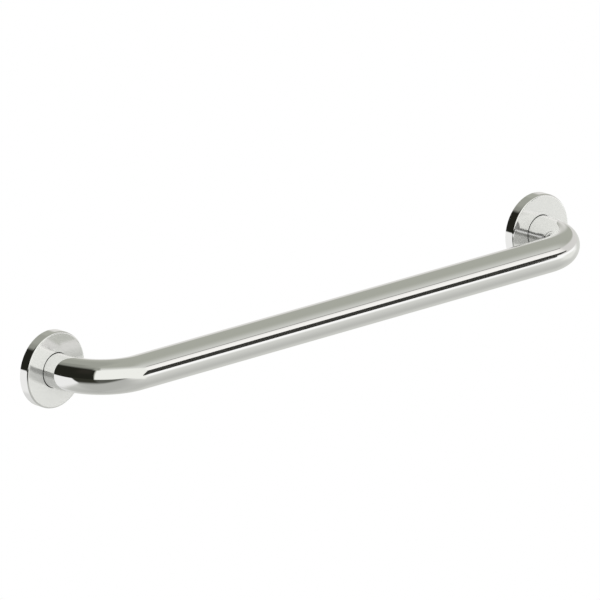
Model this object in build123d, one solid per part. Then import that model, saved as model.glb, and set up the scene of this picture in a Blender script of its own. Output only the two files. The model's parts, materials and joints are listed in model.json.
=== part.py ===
from build123d import *
import os

# Wall-mounted grab bar: one bent tube welded into two wall flanges, each hidden by a loose round cover.
# Frame: origin midway between the two legs on the wall plane, +X along the bar, the wall behind at +Y, +Z up.

# Bent tube
LEG_SPACING = 610.0  # between the axes of the two legs
TUBE_OUTER_DIAMETER = 32.0
TUBE_WALL = 1.5
BEND_RADIUS = 47.0  # to the tube's axis
HAND_CLEARANCE = 50.0  # free space between the wall and the straight of the bar
TUBE_END_SETBACK = 0.5  # the cut ends stay this far in front of the wall

# Wall flanges
FLANGE_THICKNESS = 3.0
TUBE_SLIP_FIT = 0.1  # radial room for the tube in the flange before it is welded
WELD_LEG = 3.0
SCREW_COUNT = 3
SCREW_CIRCLE_DIAMETER = 50.0
SCREW_HOLE_DIAMETER = 6.5
NIB_COUNT = 3
NIB_RADIUS = 2.5  # of the rounded nibs on the rim that grip the cover
RIM_CLEARANCE = 0.6  # between the flange's rim and the inside of the cover
NIB_CLEARANCE = 0.05  # what is left of it at a nib

# Covers
COVER_DIAMETER = 71.0
COVER_FRONT = 10.0  # from the wall to the front face
COVER_WALL = 1.5
COVER_WALL_GAP = 0.2  # between the wall and the skirt's edge
COVER_EDGE_BEVEL = 1.0  # round the front face
COVER_BORE_CLEARANCE = 0.45  # radial, round the tube
COVER_BORE_BEVEL = 0.25
COLLAR_WELD_GAP = 1.0  # between the cover's inner collar and the top of the weld
SKIRT_LEAD_IN = 0.6  # bevel that lets the skirt ride over the nibs

TUBE_RADIUS = TUBE_OUTER_DIAMETER / 2
BORE_RADIUS = TUBE_RADIUS - TUBE_WALL
BAR_STANDOFF = HAND_CLEARANCE + TUBE_RADIUS  # wall to the bar's axis
WELD_TOP = FLANGE_THICKNESS + WELD_LEG
COVER_RADIUS = COVER_DIAMETER / 2
COVER_INSIDE_RADIUS = COVER_RADIUS - COVER_WALL
COVER_BORE_RADIUS = TUBE_RADIUS + COVER_BORE_CLEARANCE
FLANGE_RADIUS = COVER_INSIDE_RADIUS - RIM_CLEARANCE
NIB_TIP_RADIUS = COVER_INSIDE_RADIUS - NIB_CLEARANCE

# Each side: name, the leg's place along X, and the direction of its outboard screw hole
SIDES = [("left", -LEG_SPACING / 2, 180), ("right", LEG_SPACING / 2, 0)]


def on_wall(x, shape):
    """Sets a shape that was drawn with the wall at z = 0 on the wall plane, round the leg at x."""
    return Pos(x, 0, 0) * Rot(90, 0, 0) * shape


def grip_tube():
    """Straight bar, two quarter bends and two legs, bent from one length of tube with open ends."""
    half = LEG_SPACING / 2
    route = FilletPolyline(
        (-half, -TUBE_END_SETBACK),
        (-half, -BAR_STANDOFF),
        (half, -BAR_STANDOFF),
        (half, -TUBE_END_SETBACK),
        radius=BEND_RADIUS,
    )
    start = Plane((-half, -TUBE_END_SETBACK, 0), x_dir=(1, 0, 0), z_dir=(0, -1, 0))
    outside = sweep(start * Circle(TUBE_RADIUS), path=route)
    inside = sweep(start * Circle(BORE_RADIUS), path=route)
    return outside - inside


def weld_bead():
    """Fillet weld that ties the tube to the flange's front face."""
    top = (TUBE_RADIUS, WELD_TOP)
    root = (TUBE_RADIUS, FLANGE_THICKNESS)
    foot = (TUBE_RADIUS + WELD_LEG, FLANGE_THICKNESS)
    return revolve(Plane.XZ * make_face(Polyline(top, root, foot, close=True)), Axis.Z)


def wall_flange(outboard):
    """Flat disc with the tube's hole, a ring of screw holes and nibs between them on its rim."""
    nib_step = 180 / NIB_COUNT
    nibs = PolarLocations(NIB_TIP_RADIUS - NIB_RADIUS, NIB_COUNT, start_angle=outboard + nib_step)
    holes = PolarLocations(SCREW_CIRCLE_DIAMETER / 2, SCREW_COUNT, start_angle=outboard)
    outline = Circle(FLANGE_RADIUS) + nibs * Circle(NIB_RADIUS)
    outline -= Circle(TUBE_RADIUS + TUBE_SLIP_FIT)
    outline -= holes * Circle(SCREW_HOLE_DIAMETER / 2)
    return extrude(outline, FLANGE_THICKNESS) + weld_bead()


def cover():
    """Shallow turned cup: skirt, flat front, and a collar turned in round the tube."""
    front_back = COVER_FRONT - COVER_WALL
    collar_end = WELD_TOP + COLLAR_WELD_GAP
    collar_radius = COVER_BORE_RADIUS + COVER_WALL
    front_edge = (COVER_RADIUS, COVER_FRONT)
    bore_edge = (COVER_BORE_RADIUS, COVER_FRONT)
    lead_in = (COVER_INSIDE_RADIUS, COVER_WALL_GAP)
    section = make_face(
        Polyline(
            (COVER_RADIUS, COVER_WALL_GAP),
            front_edge,
            bore_edge,
            (COVER_BORE_RADIUS, collar_end),
            (collar_radius, collar_end),
            (collar_radius, front_back),
            (COVER_INSIDE_RADIUS, front_back),
            lead_in,
            close=True,
        )
    )

    def corner(point):
        return section.vertices().sort_by_distance((*point, 0))[0]

    section = chamfer(corner(front_edge), COVER_EDGE_BEVEL)
    section = chamfer(corner(bore_edge), COVER_BORE_BEVEL)
    section = chamfer(corner(lead_in), SKIRT_LEAD_IN)
    return revolve(Plane.XZ * section, Axis.Z)


nodes = {"grip_tube": grip_tube()}
for side, x, outboard in SIDES:
    nodes[f"{side}_wall_flange"] = on_wall(x, wall_flange(outboard))
    nodes[f"{side}_cover"] = on_wall(x, cover())

os.makedirs("parts", exist_ok=True)
for name, shape in nodes.items():
    export_step(shape, f"parts/{name}.step")
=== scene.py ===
import json
import math

import bpy
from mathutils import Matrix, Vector


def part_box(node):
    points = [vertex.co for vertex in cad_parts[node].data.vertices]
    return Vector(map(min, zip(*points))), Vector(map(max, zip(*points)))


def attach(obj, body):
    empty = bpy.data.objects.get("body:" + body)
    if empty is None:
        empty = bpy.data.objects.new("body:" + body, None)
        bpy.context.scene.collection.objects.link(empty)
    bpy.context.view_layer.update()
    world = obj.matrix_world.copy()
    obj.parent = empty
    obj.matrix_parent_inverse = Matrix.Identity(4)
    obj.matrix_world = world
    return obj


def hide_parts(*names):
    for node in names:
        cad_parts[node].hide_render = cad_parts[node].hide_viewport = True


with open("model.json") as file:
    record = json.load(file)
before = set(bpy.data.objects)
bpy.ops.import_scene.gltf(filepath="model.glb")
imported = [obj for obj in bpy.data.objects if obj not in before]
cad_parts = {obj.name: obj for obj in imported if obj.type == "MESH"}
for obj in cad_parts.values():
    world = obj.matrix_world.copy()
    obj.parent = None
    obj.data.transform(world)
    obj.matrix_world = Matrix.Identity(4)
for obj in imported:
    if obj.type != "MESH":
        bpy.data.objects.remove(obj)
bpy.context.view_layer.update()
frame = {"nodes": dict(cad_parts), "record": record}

# Grab bar of polished steel: one bent tube on two wall flanges, each under a loose round cover.
# Metres throughout, in the frame's own axes. Directions are in degrees: a bearing of 0 points straight
# out from the wall and grows towards +X, and a height is above the horizon.

scene = bpy.context.scene
MM = 0.001

# Sizes of the tube and the covers, read from the frame
MOUNTS = {mount["name"]: mount for mount in frame["record"]["mounts"]}
TUBE_LOW, TUBE_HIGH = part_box("grip_tube")
COVER_LOW, COVER_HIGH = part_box("right_cover")
LEG_X = MOUNTS["right_screw_circle"]["pos_m"][0]
TUBE_RADIUS = TUBE_HIGH.x - LEG_X
BAR_Y = TUBE_LOW.y + TUBE_RADIUS
TUBE_END_Y = TUBE_HIGH.y
COVER_RADIUS = COVER_HIGH.z
COVER_FRONT = -COVER_LOW.y
COVER_BACK = -COVER_HIGH.y

# Sizes that the boxes don't give
TUBE_WALL = 1.5 * MM
BEND_RADIUS = 47 * MM
COVER_WALL = 1.5 * MM
COVER_BORE_CLEARANCE = 0.45 * MM
COVER_BORE_RADIUS = TUBE_RADIUS + COVER_BORE_CLEARANCE
COVER_COLLAR_END = 7 * MM
COVER_EDGE_ROUND = 1.7 * MM  # takes as much off the corner as the bevel of the solid does
COVER_BORE_BEVEL = 0.25 * MM
SKIRT_LEAD_IN = 0.6 * MM
BEVEL_SOFTENING = 0.12 * MM  # radius that the polishing left on the bore's bevel
WELD_LEG = 3 * MM
WELD_REACH = TUBE_RADIUS + WELD_LEG
FLANGE_FRONT = 3 * MM

# Fineness of the meshes
TUBE_SIDES = 144
BEND_STEPS = 48
STRAIGHT_LEAD = 3 * MM  # from a bend to the first ring of the straight beyond it
COVER_SIDES = 256
ROUND_STEPS = 8
FLAT_LEAD = 0.03 * MM  # from a round to the first ring of the flat beyond it
SEAM_REACH = 0.001 * MM  # within which the ends of a turned surface are joined
SHARP_ANGLE = math.radians(30)

# Colours of the steel
STEEL_COLOUR = (0.88, 0.88, 0.88, 1.0)
BORE_COLOUR = (0.6, 0.6, 0.59, 1.0)
FLANGE_DARK = (0.56, 0.56, 0.55, 1.0)
FLANGE_LIGHT = (0.66, 0.66, 0.64, 1.0)

# Polishing marks: how many to the metre, and the roughness from the smoothest to the roughest spot
MARK_DETAIL = 3.0
MARK_RANGE = (0.3, 0.7)  # heights of the marks at the smoothest and at the roughest spot
TUBE_MARKS = {"Fineness": 2500.0, "Smoothest": 0.02, "Roughest": 0.05}
BORE_MARKS = {"Fineness": 900.0, "Smoothest": 0.35, "Roughest": 0.55}
FLANGE_MARKS = {"Fineness": 5000.0, "Smoothest": 0.28, "Roughest": 0.5}
COVER_FINENESS = 2500.0
COVER_SMOOTHEST = (0.02, 0.08)  # on the rim and on the front
COVER_ROUGHEST = (0.05, 0.11)
TUBE_GRAIN = (0.02, 1.0, 1.0)  # draws the marks out along the tube
FLANGE_GRAIN = (0.03, 1.0, 1.0)
COVER_GRAIN = 0.2  # draws the marks out round a cover
SCRATCH_DEPTH = 0.02 * MM
SCRATCH_STRENGTH = 0.15

# Haze on the front of a cover, which fades in over the last of the round
COVER_HAZE = 0.33
HAZE_START = 0.2 * MM  # behind the front face
HAZE_FULL = 0.1 * MM

# Weld bead and the tint round it
WELD_RIPPLES = 90  # round one leg
RIPPLE_DEPTH = 0.25 * MM
BEAD_FADE = 0.2 * MM  # to each side of the bead's foot
FRONT_FADE = 0.1 * MM  # to each side of the flange's front
HEAT_REACH = 6 * MM
HEAT_SHARE = 0.4
HEAT_COLOURS = [
    (0.0, (0.16, 0.2, 0.34, 1.0)),
    (0.3, (0.3, 0.2, 0.26, 1.0)),
    (0.55, (0.5, 0.36, 0.18, 1.0)),
    (1.0, (0.6, 0.54, 0.38, 1.0)),
]

# Tints of the studio
OLIVE = (1.0, 1.025, 0.9)
WARM = (1.0, 0.985, 0.95)
IVORY = (1.0, 1.009, 0.955)
PEARL = (1.0, 1.0, 0.985)
BROWN = (1.0, 0.9, 0.72)
SOOT = (1.0, 1.02, 0.76)
WHITE = (1.0, 1.0, 1.0, 1.0)

# Grey and tint of the room at each height, under all the cards
ROOM_GREYS = [
    (-90, 170, IVORY),
    (-60, 187, IVORY),
    (-45, 198, IVORY),
    (-33, 198, IVORY),
    (-28, 200, IVORY),
    (-18, 209, IVORY),
    (-3, 208, IVORY),
    (4, 165, OLIVE),
    (90, 163, OLIVE),
]

# Black flag in front of the bar, on the right, and its outline in X and Z
FLAG_REACH = 3.0  # in front of the bar's axis
FLAG_COLOUR = (0.11, 0.108, 0.104, 1.0)
FLAG_LAST_DEPTH = 1.5  # between the ray depth of a first reflection and of a second
FLAG_OUTLINE = [
    (1.35, -0.30),
    (2.43, -0.32),
    (2.80, -0.37),
    (2.965, -0.50),
    (2.995, 0.18),
    (3.47, 0.265),
    (4.37, 0.40),
    (5.73, 0.49),
    (6.09, 0.74),
    (5.73, 0.93),
    (3.30, 0.92),
    (2.94, 0.86),
    (2.72, 0.94),
    (2.25, 0.98),
    (1.50, 0.20),
    (1.35, -0.10),
]

# Fill lamp
FILL_PLACE = (-0.8, -4.0, 0.6)
FILL_SIZE = 1.5
FILL_POWER = 48.0

# Floor
FLOOR_DROP = 0.9
FLOOR_SIZE = 14.0
FLOOR_COLOUR = (0.9, 0.9, 0.9, 1.0)

# Camera: a very long lens, because the picture shows almost no perspective
VIEW_BEARING = -44.05
VIEW_HEIGHT = 17.13
FRAME_WIDTH = 543.3 * MM
AIM_RIGHT = 6.42 * MM
AIM_UP = -1.63 * MM
LENS = 1500.0
CAMERA_REACH = 100.0


# Nodes

def add(tree, kind, inputs=None, **settings):
    """Adds a node with its settings, and sets or links its inputs by name or number."""
    node = tree.nodes.new(kind)
    for name, value in settings.items():
        setattr(node, name, value)
    for socket, value in (inputs or {}).items():
        if isinstance(value, bpy.types.NodeSocket):
            tree.links.new(value, node.inputs[socket])
        else:
            node.inputs[socket].default_value = value
    return node


def calc(tree, operation, *values):
    """Result of a Math node."""
    return add(tree, "ShaderNodeMath", dict(enumerate(values)), operation=operation).outputs[0]


def between(tree, value, low, high, from_value=0.0, to_value=1.0):
    """Smooth step from one value to another while value goes from low to high."""
    inputs = {"Value": value, "From Min": low, "From Max": high, "To Min": from_value, "To Max": to_value}
    return add(tree, "ShaderNodeMapRange", inputs, interpolation_type="SMOOTHSTEP").outputs[0]


def blend_colours(tree, factor, first, second):
    """Colour between first and second."""
    colour_sockets = {0: factor, 6: first, 7: second}
    return add(tree, "ShaderNodeMix", colour_sockets, data_type="RGBA").outputs[2]


def blend_shaders(tree, factor, first, second):
    """Shader between first and second."""
    return add(tree, "ShaderNodeMixShader", {0: factor, 1: first.outputs[0], 2: second.outputs[0]})


def colour_ramp(tree, factor, stops):
    """Colour that runs through stops, each given as its place from 0 to 1 and its colour."""
    ramp = add(tree, "ShaderNodeValToRGB", {0: factor})
    elements = ramp.color_ramp.elements
    while len(elements) < len(stops):
        elements.new(0.5)
    for element, (place, colour) in zip(elements, stops):
        element.position = place
        element.color = colour
    return ramp.outputs[0]


def light_path(tree, output):
    """One of the outputs of a Light Path node."""
    return tree.nodes.new("ShaderNodeLightPath").outputs[output]


def open_group(name, kind, inputs, outputs):
    """New node group with named sockets, as (tree, input sockets, output node)."""
    tree = bpy.data.node_groups.new(name, kind)
    for socket, socket_type in inputs:
        tree.interface.new_socket(socket, in_out="INPUT", socket_type=socket_type)
    for socket, socket_type in outputs:
        tree.interface.new_socket(socket, in_out="OUTPUT", socket_type=socket_type)
    return tree, tree.nodes.new("NodeGroupInput").outputs, tree.nodes.new("NodeGroupOutput")


def place_group(tree, group, inputs):
    """Places a shader group in a tree with its own values."""
    return add(tree, "ShaderNodeGroup", inputs, node_tree=group)


def clear_tree(owner):
    """Empty node tree of a material or a world."""
    owner.use_nodes = True
    owner.node_tree.nodes.clear()
    return owner.node_tree


def show(tree, shader, output="ShaderNodeOutputMaterial"):
    """Ends a material or a world with its shader."""
    add(tree, output, {"Surface": shader.outputs[0]})


def put(name, data):
    """New object in the scene."""
    made = bpy.data.objects.new(name, data)
    scene.collection.objects.link(made)
    return made


# Finishes of the steel

def polish_group():
    """Faint polishing marks: roughness that wanders a little, and a height for the bump."""
    tree, given, result = open_group(
        "polishing_marks", "ShaderNodeTree",
        [("Place", "NodeSocketVector"), ("Fineness", "NodeSocketFloat"),
         ("Smoothest", "NodeSocketFloat"), ("Roughest", "NodeSocketFloat")],
        [("Roughness", "NodeSocketFloat"), ("Height", "NodeSocketFloat")],
    )
    marks = add(tree, "ShaderNodeTexNoise", {
        "Vector": given["Place"], "Scale": given["Fineness"], "Detail": MARK_DETAIL,
    })
    height = marks.outputs["Fac"]
    roughness = between(tree, height, *MARK_RANGE, given["Smoothest"], given["Roughest"])
    tree.links.new(roughness, result.inputs["Roughness"])
    tree.links.new(height, result.inputs["Height"])
    return tree


POLISH = polish_group()


def new_steel(name):
    """New material of bare metal, as (material, tree, its Principled shader)."""
    material = bpy.data.materials.new(name)
    tree = clear_tree(material)
    shader = tree.nodes.new("ShaderNodeBsdfPrincipled")
    shader.inputs["Metallic"].default_value = 1.0
    show(tree, shader)
    return material, tree, shader


def object_place(tree):
    """Object coordinates."""
    return tree.nodes.new("ShaderNodeTexCoord").outputs["Object"]


def from_leg_axis(tree):
    """Object coordinates measured from the axis of the nearer leg, as (radius, angle, depth)."""
    x, y, z = add(tree, "ShaderNodeSeparateXYZ", {0: object_place(tree)}).outputs
    across = calc(tree, "SUBTRACT", calc(tree, "ABSOLUTE", x), LEG_X)
    squares = calc(tree, "ADD", calc(tree, "POWER", across, 2.0), calc(tree, "POWER", z, 2.0))
    return calc(tree, "SQRT", squares), calc(tree, "ARCTAN2", z, across), y


def mirror_polish():
    """Finish of the tube: a mirror polish, with faint marks that run along it."""
    material, tree, shader = new_steel("mirror_polish")
    straightened = add(tree, "ShaderNodeAttribute", attribute_name="straightened").outputs["Vector"]
    grain = add(tree, "ShaderNodeMapping", {"Vector": straightened, "Scale": TUBE_GRAIN}).outputs[0]
    marks = place_group(tree, POLISH, {"Place": grain, **TUBE_MARKS})
    shader.inputs["Base Color"].default_value = STEEL_COLOUR
    tree.links.new(marks.outputs["Roughness"], shader.inputs["Roughness"])
    return material


def bare_bore():
    """Finish inside the tube and on its cut ends: the dull steel as it came from the mill."""
    material, tree, shader = new_steel("bare_bore")
    marks = place_group(tree, POLISH, {"Place": object_place(tree), **BORE_MARKS})
    shader.inputs["Base Color"].default_value = BORE_COLOUR
    tree.links.new(marks.outputs["Roughness"], shader.inputs["Roughness"])
    return material


def buffed_cover():
    """Finish of the covers: a mirror polish, and on the front a pale haze that the buffing left."""
    material, tree, shader = new_steel("buffed_cover")
    radius, angle, depth = from_leg_axis(tree)
    arc = calc(tree, "MULTIPLY", angle, COVER_RADIUS * COVER_GRAIN)
    turned = add(tree, "ShaderNodeCombineXYZ", {"X": radius, "Y": arc, "Z": depth}).outputs[0]
    front = between(tree, depth, -COVER_FRONT + HAZE_START, -COVER_FRONT + HAZE_FULL)
    marks = place_group(tree, POLISH, {
        "Place": turned, "Fineness": COVER_FINENESS,
        "Smoothest": between(tree, front, 0.0, 1.0, *COVER_SMOOTHEST),
        "Roughest": between(tree, front, 0.0, 1.0, *COVER_ROUGHEST),
    })
    metallic = calc(tree, "SUBTRACT", 1.0, calc(tree, "MULTIPLY", front, COVER_HAZE))
    shader.inputs["Base Color"].default_value = STEEL_COLOUR
    tree.links.new(metallic, shader.inputs["Metallic"])
    tree.links.new(marks.outputs["Roughness"], shader.inputs["Roughness"])
    return material


def heat_tint(tree, radius, plain):
    """Colours that welding leaves: blue at the bead, then brown and straw, then the plain steel."""
    reach = add(tree, "ShaderNodeMapRange", {
        "Value": radius, "From Min": WELD_REACH, "From Max": WELD_REACH + HEAT_REACH,
    }).outputs[0]
    share = between(tree, reach, 0.0, 1.0, HEAT_SHARE, 0.0)
    return blend_colours(tree, share, plain, colour_ramp(tree, reach, HEAT_COLOURS))


def weld_ripples(tree, radius, angle, depth):
    """Height of the ripples along the weld bead."""
    on_bead = between(tree, radius, WELD_REACH + BEAD_FADE, WELD_REACH - BEAD_FADE)
    in_front = between(tree, depth, -FLANGE_FRONT + FRONT_FADE, -FLANGE_FRONT - FRONT_FADE)
    wave = calc(tree, "ABSOLUTE", calc(tree, "SINE", calc(tree, "MULTIPLY", angle, WELD_RIPPLES / 2)))
    return calc(tree, "MULTIPLY", calc(tree, "MULTIPLY", on_bead, in_front), wave)


def plain_steel():
    """Finish of the flanges: mill steel with a straight grain, tinted and rippled by the weld."""
    material, tree, shader = new_steel("plain_steel")
    grain = add(tree, "ShaderNodeMapping", {"Vector": object_place(tree), "Scale": FLANGE_GRAIN}).outputs[0]
    marks = place_group(tree, POLISH, {"Place": grain, **FLANGE_MARKS})
    radius, angle, depth = from_leg_axis(tree)
    shade = blend_colours(tree, marks.outputs["Height"], FLANGE_DARK, FLANGE_LIGHT)
    scratched = add(tree, "ShaderNodeBump", {
        "Height": marks.outputs["Height"], "Strength": SCRATCH_STRENGTH, "Distance": SCRATCH_DEPTH,
    })
    rippled = add(tree, "ShaderNodeBump", {
        "Height": weld_ripples(tree, radius, angle, depth), "Strength": 1.0, "Distance": RIPPLE_DEPTH,
        "Normal": scratched.outputs[0],
    })
    tree.links.new(heat_tint(tree, radius, shade), shader.inputs["Base Color"])
    tree.links.new(marks.outputs["Roughness"], shader.inputs["Roughness"])
    tree.links.new(rippled.outputs[0], shader.inputs["Normal"])
    return material


# Meshes

def plain_mesh(name, source):
    """Plain mesh object from a source object with its modifiers worked out. The source goes."""
    bpy.context.view_layer.update()
    depsgraph = bpy.context.evaluated_depsgraph_get()
    mesh = bpy.data.meshes.new_from_object(source.evaluated_get(depsgraph), depsgraph=depsgraph)
    mesh.name = name
    bpy.data.objects.remove(source)
    return put(name, mesh)


def poly_curve(name, points, rounded=()):
    """Curve object with straight runs through points. rounded holds the numbers of the corners to round."""
    curve = bpy.data.curves.new(name, "CURVE")
    curve.dimensions = "3D"
    spline = curve.splines.new("POLY")
    spline.points.add(len(points) - 1)
    for number, (point, place) in enumerate(zip(spline.points, points)):
        point.co = (*place, 1.0)
        point.radius = 1.0 if number in rounded else 0.0
    return put(name, curve)


def run_nodes(source, tree, values):
    """Puts a geometry tree on an object and gives it its inputs by name."""
    modifier = source.modifiers.new(tree.name, "NODES")
    modifier.node_group = tree
    for socket in tree.interface.items_tree:
        if socket.in_out == "INPUT" and socket.name in values:
            modifier[socket.identifier] = values[socket.name]


def close_tree(tree, geometry, finish, result):
    """Ends a geometry tree: smooth shading, real geometry and its material."""
    smooth = add(tree, "GeometryNodeSetShadeSmooth", {"Geometry": geometry})
    real = add(tree, "GeometryNodeRealizeInstances", {"Geometry": smooth.outputs[0]})
    coloured = add(tree, "GeometryNodeSetMaterial", {"Geometry": real.outputs[0], "Material": finish})
    tree.links.new(coloured.outputs[0], result.inputs[0])


def store(tree, geometry, name, value, data_type):
    """Geometry with a value kept on it under a name."""
    inputs = {"Geometry": geometry, "Name": name, "Value": value}
    return add(tree, "GeometryNodeStoreNamedAttribute", inputs, data_type=data_type).outputs[0]


def recall(tree, name, data_type):
    """Value that was kept on the geometry under a name."""
    return add(tree, "GeometryNodeInputNamedAttribute", {"Name": name}, data_type=data_type).outputs[0]


def bent_tube_tree():
    """Sweeps a circle along a path whose corners are rounded to the bend radius.

    The attribute "straightened" keeps each point's place on the tube as it was before it was bent.
    """
    tree, given, result = open_group(
        "bent_tube", "GeometryNodeTree",
        [("Path", "NodeSocketGeometry"), ("Tube Radius", "NodeSocketFloat"),
         ("Bend Radius", "NodeSocketFloat"), ("Bend Steps", "NodeSocketInt"),
         ("Sides", "NodeSocketInt"), ("Finish", "NodeSocketMaterial")],
        [("Tube", "NodeSocketGeometry")],
    )
    corner = tree.nodes.new("GeometryNodeInputRadius").outputs[0]
    path = add(tree, "GeometryNodeFilletCurve", {
        "Curve": given["Path"], "Count": given["Bend Steps"],
        "Radius": calc(tree, "MULTIPLY", corner, given["Bend Radius"]),
    }, mode="POLY").outputs[0]
    length = tree.nodes.new("GeometryNodeSplineParameter").outputs["Length"]
    circle = add(tree, "GeometryNodeCurvePrimitiveCircle", {
        "Resolution": given["Sides"], "Radius": given["Tube Radius"],
    }, mode="RADIUS").outputs[0]
    place = tree.nodes.new("GeometryNodeInputPosition").outputs[0]
    swept = add(tree, "GeometryNodeCurveToMesh", {
        "Curve": store(tree, path, "along", length, "FLOAT"),
        "Profile Curve": store(tree, circle, "across", place, "FLOAT_VECTOR"),
    }).outputs[0]
    across = add(tree, "ShaderNodeSeparateXYZ", {0: recall(tree, "across", "FLOAT_VECTOR")}).outputs
    straight = add(tree, "ShaderNodeCombineXYZ", {
        "X": recall(tree, "along", "FLOAT"), "Y": across["X"], "Z": across["Y"],
    }).outputs[0]
    tube = store(tree, swept, "straightened", straight, "FLOAT_VECTOR")
    for spare in ("along", "across"):
        tube = add(tree, "GeometryNodeRemoveAttribute", {"Geometry": tube, "Name": spare}).outputs[0]
    close_tree(tree, tube, given["Finish"], result)
    return tree


def make_tube():
    """The bent tube, hollow and open at both ends."""
    corner_lead = BEND_RADIUS + STRAIGHT_LEAD
    right_half = [
        (LEG_X - corner_lead, BAR_Y, 0.0),
        (LEG_X, BAR_Y, 0.0),
        (LEG_X, BAR_Y + corner_lead, 0.0),
        (LEG_X, TUBE_END_Y, 0.0),
    ]
    left_half = [(-x, y, z) for x, y, z in reversed(right_half)]
    bends = (2, 5)  # numbers of the corner points, one in each half
    path = poly_curve("tube_path", left_half + right_half, rounded=bends)
    run_nodes(path, bent_tube_tree(), {
        "Tube Radius": TUBE_RADIUS, "Bend Radius": BEND_RADIUS, "Bend Steps": BEND_STEPS,
        "Sides": TUBE_SIDES, "Finish": mirror_polish(),
    })
    outside = plain_mesh("tube_outside", path)
    outside.data.materials.append(bare_bore())
    wall = outside.modifiers.new("wall", "SOLIDIFY")
    wall.thickness = TUBE_WALL
    wall.offset = -1.0
    wall.use_even_offset = True
    wall.material_offset = 1
    wall.material_offset_rim = 1
    tube = plain_mesh("polished_tube", outside)
    tube.data.set_sharp_from_angle(angle=SHARP_ANGLE)
    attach(tube, "bar")
    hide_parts("grip_tube")


def rounded_section(corners):
    """Closed outline in (radius, depth) through corners given as (radius, depth, rounding)."""
    outline = []
    for number, (radius, depth, rounding) in enumerate(corners):
        here = Vector((radius, depth))
        if not rounding:
            outline.append(here)
            continue
        before = (Vector(corners[number - 1][:2]) - here).normalized()
        after = (Vector(corners[(number + 1) % len(corners)][:2]) - here).normalized()
        half = before.angle(after) / 2
        tangent = rounding / math.tan(half)
        centre = here + (before + after).normalized() * rounding / math.sin(half)
        start = here + before * tangent - centre
        end = here + after * tangent - centre
        outline.append(here + before * (tangent + FLAT_LEAD))
        for step in range(ROUND_STEPS + 1):
            outline.append(centre + start.slerp(end, step / ROUND_STEPS).normalized() * rounding)
        outline.append(here + after * (tangent + FLAT_LEAD))
    return outline + outline[:1]


def lathe_tree():
    """Turns an outline, drawn as radius and depth, round the axis of a leg."""
    tree, given, result = open_group(
        "lathe", "GeometryNodeTree",
        [("Outline", "NodeSocketGeometry"), ("Outline Points", "NodeSocketInt"),
         ("Sides", "NodeSocketInt"), ("Axis X", "NodeSocketFloat"),
         ("Finish", "NodeSocketMaterial")],
        [("Turned", "NodeSocketGeometry")],
    )
    points, sides = given["Outline Points"], given["Sides"]
    columns = calc(tree, "ADD", sides, 1.0)
    sheet = add(tree, "GeometryNodeMeshGrid", {"Vertices X": columns, "Vertices Y": points}).outputs[0]
    index = tree.nodes.new("GeometryNodeInputIndex").outputs[0]
    row = calc(tree, "MODULO", index, points)
    column = calc(tree, "FLOOR", calc(tree, "DIVIDE", index, points))
    place = tree.nodes.new("GeometryNodeInputPosition").outputs[0]
    drawn = add(tree, "GeometryNodeSampleIndex", {
        "Geometry": given["Outline"], "Value": place, "Index": row,
    }, data_type="FLOAT_VECTOR").outputs[0]
    radius, depth, _ = add(tree, "ShaderNodeSeparateXYZ", {0: drawn}).outputs
    turn = calc(tree, "MULTIPLY", calc(tree, "DIVIDE", column, sides), 2 * math.pi)
    aside = calc(tree, "MULTIPLY", radius, calc(tree, "COSINE", turn))
    turned = add(tree, "ShaderNodeCombineXYZ", {
        "X": calc(tree, "ADD", aside, given["Axis X"]),
        "Y": calc(tree, "MULTIPLY", depth, -1.0),
        "Z": calc(tree, "MULTIPLY", radius, calc(tree, "SINE", turn)),
    }).outputs[0]
    moved = add(tree, "GeometryNodeSetPosition", {"Geometry": sheet, "Position": turned}).outputs[0]
    closed = add(tree, "GeometryNodeMergeByDistance", {
        "Geometry": moved, "Distance": SEAM_REACH,
    }).outputs[0]
    close_tree(tree, closed, given["Finish"], result)
    return tree


def cover_outline():
    """Section of a cover: skirt, flat front, and the collar turned in round the tube."""
    inside = COVER_RADIUS - COVER_WALL
    front_back = COVER_FRONT - COVER_WALL
    collar = COVER_BORE_RADIUS + COVER_WALL
    return rounded_section([
        (COVER_RADIUS, COVER_BACK, 0),
        (COVER_RADIUS, COVER_FRONT, COVER_EDGE_ROUND),
        (COVER_BORE_RADIUS + COVER_BORE_BEVEL, COVER_FRONT, BEVEL_SOFTENING),
        (COVER_BORE_RADIUS, COVER_FRONT - COVER_BORE_BEVEL, BEVEL_SOFTENING),
        (COVER_BORE_RADIUS, COVER_COLLAR_END, 0),
        (collar, COVER_COLLAR_END, 0),
        (collar, front_back, 0),
        (inside, front_back, 0),
        (inside, COVER_BACK + SKIRT_LEAD_IN, 0),
        (inside + SKIRT_LEAD_IN, COVER_BACK, 0),
    ])


def make_covers():
    """The two covers, one on each leg."""
    tree = lathe_tree()
    finish = buffed_cover()
    outline = cover_outline()
    for side, axis_x in (("left", -LEG_X), ("right", LEG_X)):
        drawn = poly_curve(f"{side}_outline", [(radius, depth, 0.0) for radius, depth in outline])
        run_nodes(drawn, tree, {
            "Outline Points": len(outline), "Sides": COVER_SIDES, "Axis X": axis_x, "Finish": finish,
        })
        cover = plain_mesh(f"{side}_polished_cover", drawn)
        cover.data.set_sharp_from_angle(angle=SHARP_ANGLE)
        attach(cover, f"{side}_cover")
        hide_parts(f"{side}_cover")


def finish_flanges():
    """The two wall flanges keep their solids and get their finish."""
    finish = plain_steel()
    for side in ("left", "right"):
        flange = frame["nodes"][f"{side}_wall_flange"]
        flange.data.materials.clear()
        flange.data.materials.append(finish)


# Studio

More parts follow.
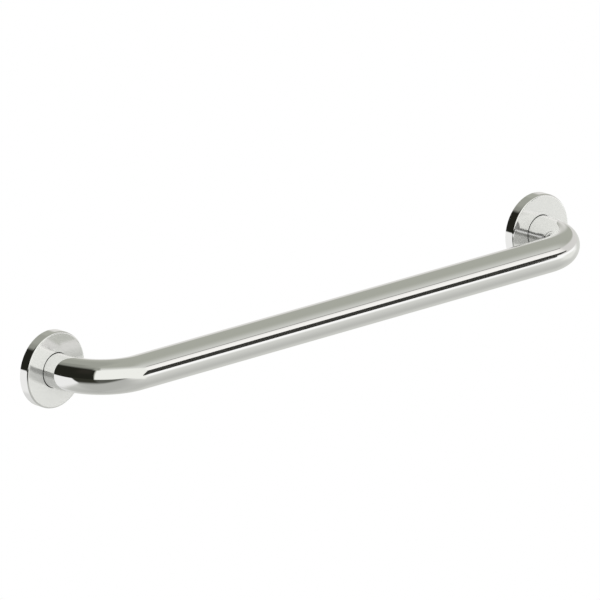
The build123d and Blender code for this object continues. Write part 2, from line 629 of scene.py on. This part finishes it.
def card_group():
    """Mask of a studio card: a patch of directions with soft edges.

    Flat 1 makes its low and high edges straight, as on an upright flat card that faces the bar from Facing.
    """
    numbers = ("Bearing", "Height", "Facing", "Flat", "Left", "Right", "Low", "High",
               "Left Blur", "Right Blur", "Low Blur", "High Blur", "Lean", "Tilt")
    tree, given, result = open_group(
        "studio_card", "ShaderNodeTree",
        [(name, "NodeSocketFloat") for name in numbers],
        [("Mask", "NodeSocketFloat")],
    )
    aside = calc(tree, "SUBTRACT", given["Bearing"], given["Facing"])
    turn = calc(tree, "RADIANS", calc(tree, "MULTIPLY", aside, given["Flat"]))
    rise = calc(tree, "RADIANS", given["Height"])
    reach = calc(tree, "MULTIPLY", calc(tree, "COSINE", rise), calc(tree, "COSINE", turn))
    level = calc(tree, "DEGREES", calc(tree, "ARCTAN2", calc(tree, "SINE", rise), reach))
    tilted = calc(tree, "SUBTRACT", level, calc(tree, "MULTIPLY", aside, given["Tilt"]))
    leaned = calc(tree, "SUBTRACT", given["Bearing"], calc(tree, "MULTIPLY", level, given["Lean"]))
    edges = (("Left", leaned, 1.0), ("Right", leaned, 0.0), ("Low", tilted, 1.0), ("High", tilted, 0.0))
    mask = 1.0
    for edge, value, beyond in edges:
        half = calc(tree, "MULTIPLY", given[f"{edge} Blur"], 0.5)
        start = calc(tree, "SUBTRACT", given[edge], half)
        stop = calc(tree, "ADD", given[edge], half)
        mask = calc(tree, "MULTIPLY", mask, between(tree, value, start, stop, 1.0 - beyond, beyond))
    tree.links.new(mask, result.inputs["Mask"])
    return tree


CARD = card_group()


def tone(grey, tint):
    """Colour of a card that shows as this 8-bit sRGB grey in the polished steel."""
    level = grey / 255
    linear = level / 12.92 if level <= 0.04045 else ((level + 0.055) / 1.055) ** 2.4
    return tuple(linear * share / STEEL_COLOUR[0] for share in tint) + (1.0,)


def card(grey, tint, across, up, blur, share=1.0, facing=None, pivot=0.0, lean=0.0, tilt=0.0):
    """A studio card: its grey, its edges left and right and low and high, and the blur across each.

    With facing, its low and high edges are straight, as on a flat upright card that is seen from there.
    A tilt turns them about the pivot, and a lean slants the left and right edges.
    """
    shape = {
        "Facing": pivot if facing is None else facing, "Flat": 0.0 if facing is None else 1.0,
        "Left": across[0], "Right": across[1], "Low": up[0], "High": up[1], "Lean": lean, "Tilt": tilt,
        "Left Blur": blur[0], "Right Blur": blur[1], "Low Blur": blur[2], "High Blur": blur[3],
    }
    return tone(grey, tint), share, shape


def studio_cards():
    """Cards of the studio, each laid over those before it."""
    return [
        # grey floor in front and on the right, and greyer in the middle
        card(182, IVORY, (-90, 92), (-100, -38), (20, 40, 2, 24)),
        card(174, IVORY, (-80, 14), (-100, -1), (30, 44, 2, 4)),
        # light on the ceiling over the white panel
        card(207, IVORY, (-50, 52), (30, 73), (10, 20, 8, 24), facing=-30),
        # light over the pale wall, the wall, and its brighter end
        card(203, IVORY, (20, 67), (20, 50), (8, 50, 8, 24)),
        card(208, WARM, (40, 134), (-4, 28.5), (20, 20, 8, 8), facing=44.4),
        card(234, WARM, (42, 57), (9, 30.5), (6, 14, 5, 2.5)),
        # pale wall at the back on the right
        card(214, WARM, (128, 156), (-24, 18), (8, 16, 12, 12)),
        # bright floor on the right
        card(252, PEARL, (19, 92), (-15, 0), (55, 24, 10, 4)),
        card(226, IVORY, (55, 88), (-26, -8), (20, 20, 14, 6)),
        # white panel, the dark floor in front of it, its sweep on to the floor and its bright end
        card(236, IVORY, (-54.5, 46), (0.5, 63), (2, 8, 3, 14), facing=-30),
        card(84, OLIVE, (-175, -1), (-27, -0.5), (12, 22, 24, 1.5), lean=1.43),
        card(236, IVORY, (-20, 37), (-2.5, 22), (14, 12, 9, 6), tilt=-0.6),
        card(245, WARM, (40, 48), (11, 27), (8, 5, 4, 8)),
        # white floor at the back, on both sides of straight back, and on the left
        card(213, PEARL, (150, 200), (-58, -10), (40, 2, 10, 20)),
        card(213, PEARL, (-200, -140), (-58, -10), (2, 20, 10, 20)),
        card(233, PEARL, (-171, -90), (-57.5, -3), (18, 4, 13, 3), facing=-152, lean=-0.127),
        # dim ceiling at the back, on both sides of straight back
        card(154, OLIVE, (178, 400), (37.5, 100), (24, 2, 5, 2), lean=-0.9),
        card(154, OLIVE, (-300, -70), (37.5, 100), (2, 20, 5, 2)),
        # dim ceiling over the black wall, the wall, its foot, its top corner and a brown cast on it
        card(136, OLIVE, (-168, -58), (40, 77), (16, 16, 10, 16)),
        card(33, SOOT, (-164, -55.3), (-3, 67), (20, 1.5, 2, 14), facing=-85, lean=-0.03),
        card(46, SOOT, (-93, -55.5), (-21, 2), (4, 8, 14, 3), lean=-0.36),
        card(150, OLIVE, (-64, -46), (60, 80), (14, 8, 6, 10)),
        card(48, BROWN, (-92, -62), (35, 60), (20, 12, 30, 10), share=0.6),
        # dark edge on top of the pale wall
        card(108, WARM, (48, 60), (29.7, 32.3), (6, 6, 1.5, 1.5), share=0.9, pivot=52, tilt=-0.25),
    ]


def floor_to_ceiling(tree, height):
    """Grey of the room by height alone."""
    rise = calc(tree, "DIVIDE", calc(tree, "ADD", height, 90.0), 180.0)
    stops = [((degrees + 90) / 180, tone(grey, tint)) for degrees, grey, tint in ROOM_GREYS]
    return colour_ramp(tree, rise, stops)


def light_studio():
    """World: a pale room with a white panel and a black wall, which show in the polish."""
    world = bpy.data.worlds.new("studio")
    scene.world = world
    tree = clear_tree(world)
    direction = tree.nodes.new("ShaderNodeTexCoord").outputs["Generated"]
    x, y, z = add(tree, "ShaderNodeSeparateXYZ", {0: direction}).outputs
    bearing = calc(tree, "DEGREES", calc(tree, "ARCTAN2", x, calc(tree, "MULTIPLY", y, -1.0)))
    height = calc(tree, "DEGREES", calc(tree, "ARCSINE", z))
    room = floor_to_ceiling(tree, height)
    for shade, share, shape in studio_cards():
        mask = place_group(tree, CARD, {"Bearing": bearing, "Height": height, **shape}).outputs["Mask"]
        room = blend_colours(tree, calc(tree, "MULTIPLY", mask, share), room, shade)
    studio = add(tree, "ShaderNodeBackground", {"Color": room})
    white = add(tree, "ShaderNodeBackground", {"Color": WHITE})
    seen = light_path(tree, "Is Camera Ray")
    show(tree, blend_shaders(tree, seen, studio, white), "ShaderNodeOutputWorld")


def flat_sheet(name, corners, material):
    """Flat sheet of one face."""
    mesh = bpy.data.meshes.new(name)
    mesh.from_pydata(corners, [], [range(len(corners))])
    mesh.materials.append(material)
    return put(name, mesh)


def flag_material():
    """Black cloth, clear beyond a first reflection."""
    material = bpy.data.materials.new("black_flag")
    tree = clear_tree(material)
    cloth = add(tree, "ShaderNodeBsdfDiffuse", {"Color": FLAG_COLOUR})
    clear = tree.nodes.new("ShaderNodeBsdfTransparent")
    again = calc(tree, "GREATER_THAN", light_path(tree, "Ray Depth"), FLAG_LAST_DEPTH)
    show(tree, blend_shaders(tree, again, cloth, clear))
    return material


def hang_flag():
    """Black flag, which shows as the dark stripe along the bar, and in nothing but a first reflection."""
    corners = [(x, BAR_Y - FLAG_REACH, z) for x, z in FLAG_OUTLINE]
    flag = flat_sheet("flag", corners, flag_material())
    flag.visible_camera = False
    flag.visible_diffuse = False
    flag.visible_shadow = False


def hang_fill_lamp():
    """Large soft lamp in front, for what is matt: the polish doesn't show it."""
    light = bpy.data.lights.new("fill_lamp", "AREA")
    light.size = FILL_SIZE
    light.energy = FILL_POWER
    lamp = put("fill_lamp", light)
    lamp.location = FILL_PLACE
    lamp.rotation_mode = "QUATERNION"
    lamp.rotation_quaternion = (-Vector(FILL_PLACE)).to_track_quat("-Z", "Y")
    lamp.visible_glossy = False


def floor_material():
    """Plain white floor, clear from below so that it never hides the bar."""
    material = bpy.data.materials.new("pale_floor")
    tree = clear_tree(material)
    pale = add(tree, "ShaderNodeBsdfDiffuse", {"Color": FLOOR_COLOUR})
    white = add(tree, "ShaderNodeEmission", {"Color": WHITE, "Strength": 1.0})
    clear = tree.nodes.new("ShaderNodeBsdfTransparent")
    behind = tree.nodes.new("ShaderNodeNewGeometry").outputs["Backfacing"]
    above = blend_shaders(tree, light_path(tree, "Is Camera Ray"), pale, white)
    show(tree, blend_shaders(tree, behind, above, clear))
    return material


def lay_floor():
    """Floor well below the bar. The steel shows the studio's own floor instead of this sheet."""
    half = FLOOR_SIZE / 2
    plan = [(-half, -half), (half, -half), (half, half), (-half, half)]
    floor = flat_sheet("floor", [(x, y, -FLOOR_DROP) for x, y in plan], floor_material())
    floor.visible_glossy = False


def set_camera():
    """Camera at the picture's angle."""
    bearing, height = math.radians(VIEW_BEARING), math.radians(VIEW_HEIGHT)
    level = math.cos(height)
    back = Vector((math.sin(bearing) * level, -math.cos(bearing) * level, math.sin(height)))
    turn = (-back).to_track_quat("-Z", "Y")
    aim = turn @ Vector((AIM_RIGHT, AIM_UP, 0.0))
    optics = bpy.data.cameras.new("camera")
    optics.lens = LENS
    optics.clip_end = CAMERA_REACH
    camera = put("camera", optics)
    camera.rotation_mode = "QUATERNION"
    camera.rotation_quaternion = turn
    camera.location = aim + back * FRAME_WIDTH * LENS / optics.sensor_width
    scene.camera = camera


make_tube()
make_covers()
finish_flanges()
light_studio()
hang_flag()
hang_fill_lamp()
lay_floor()
set_camera()
scene.view_settings.view_transform = "Standard"
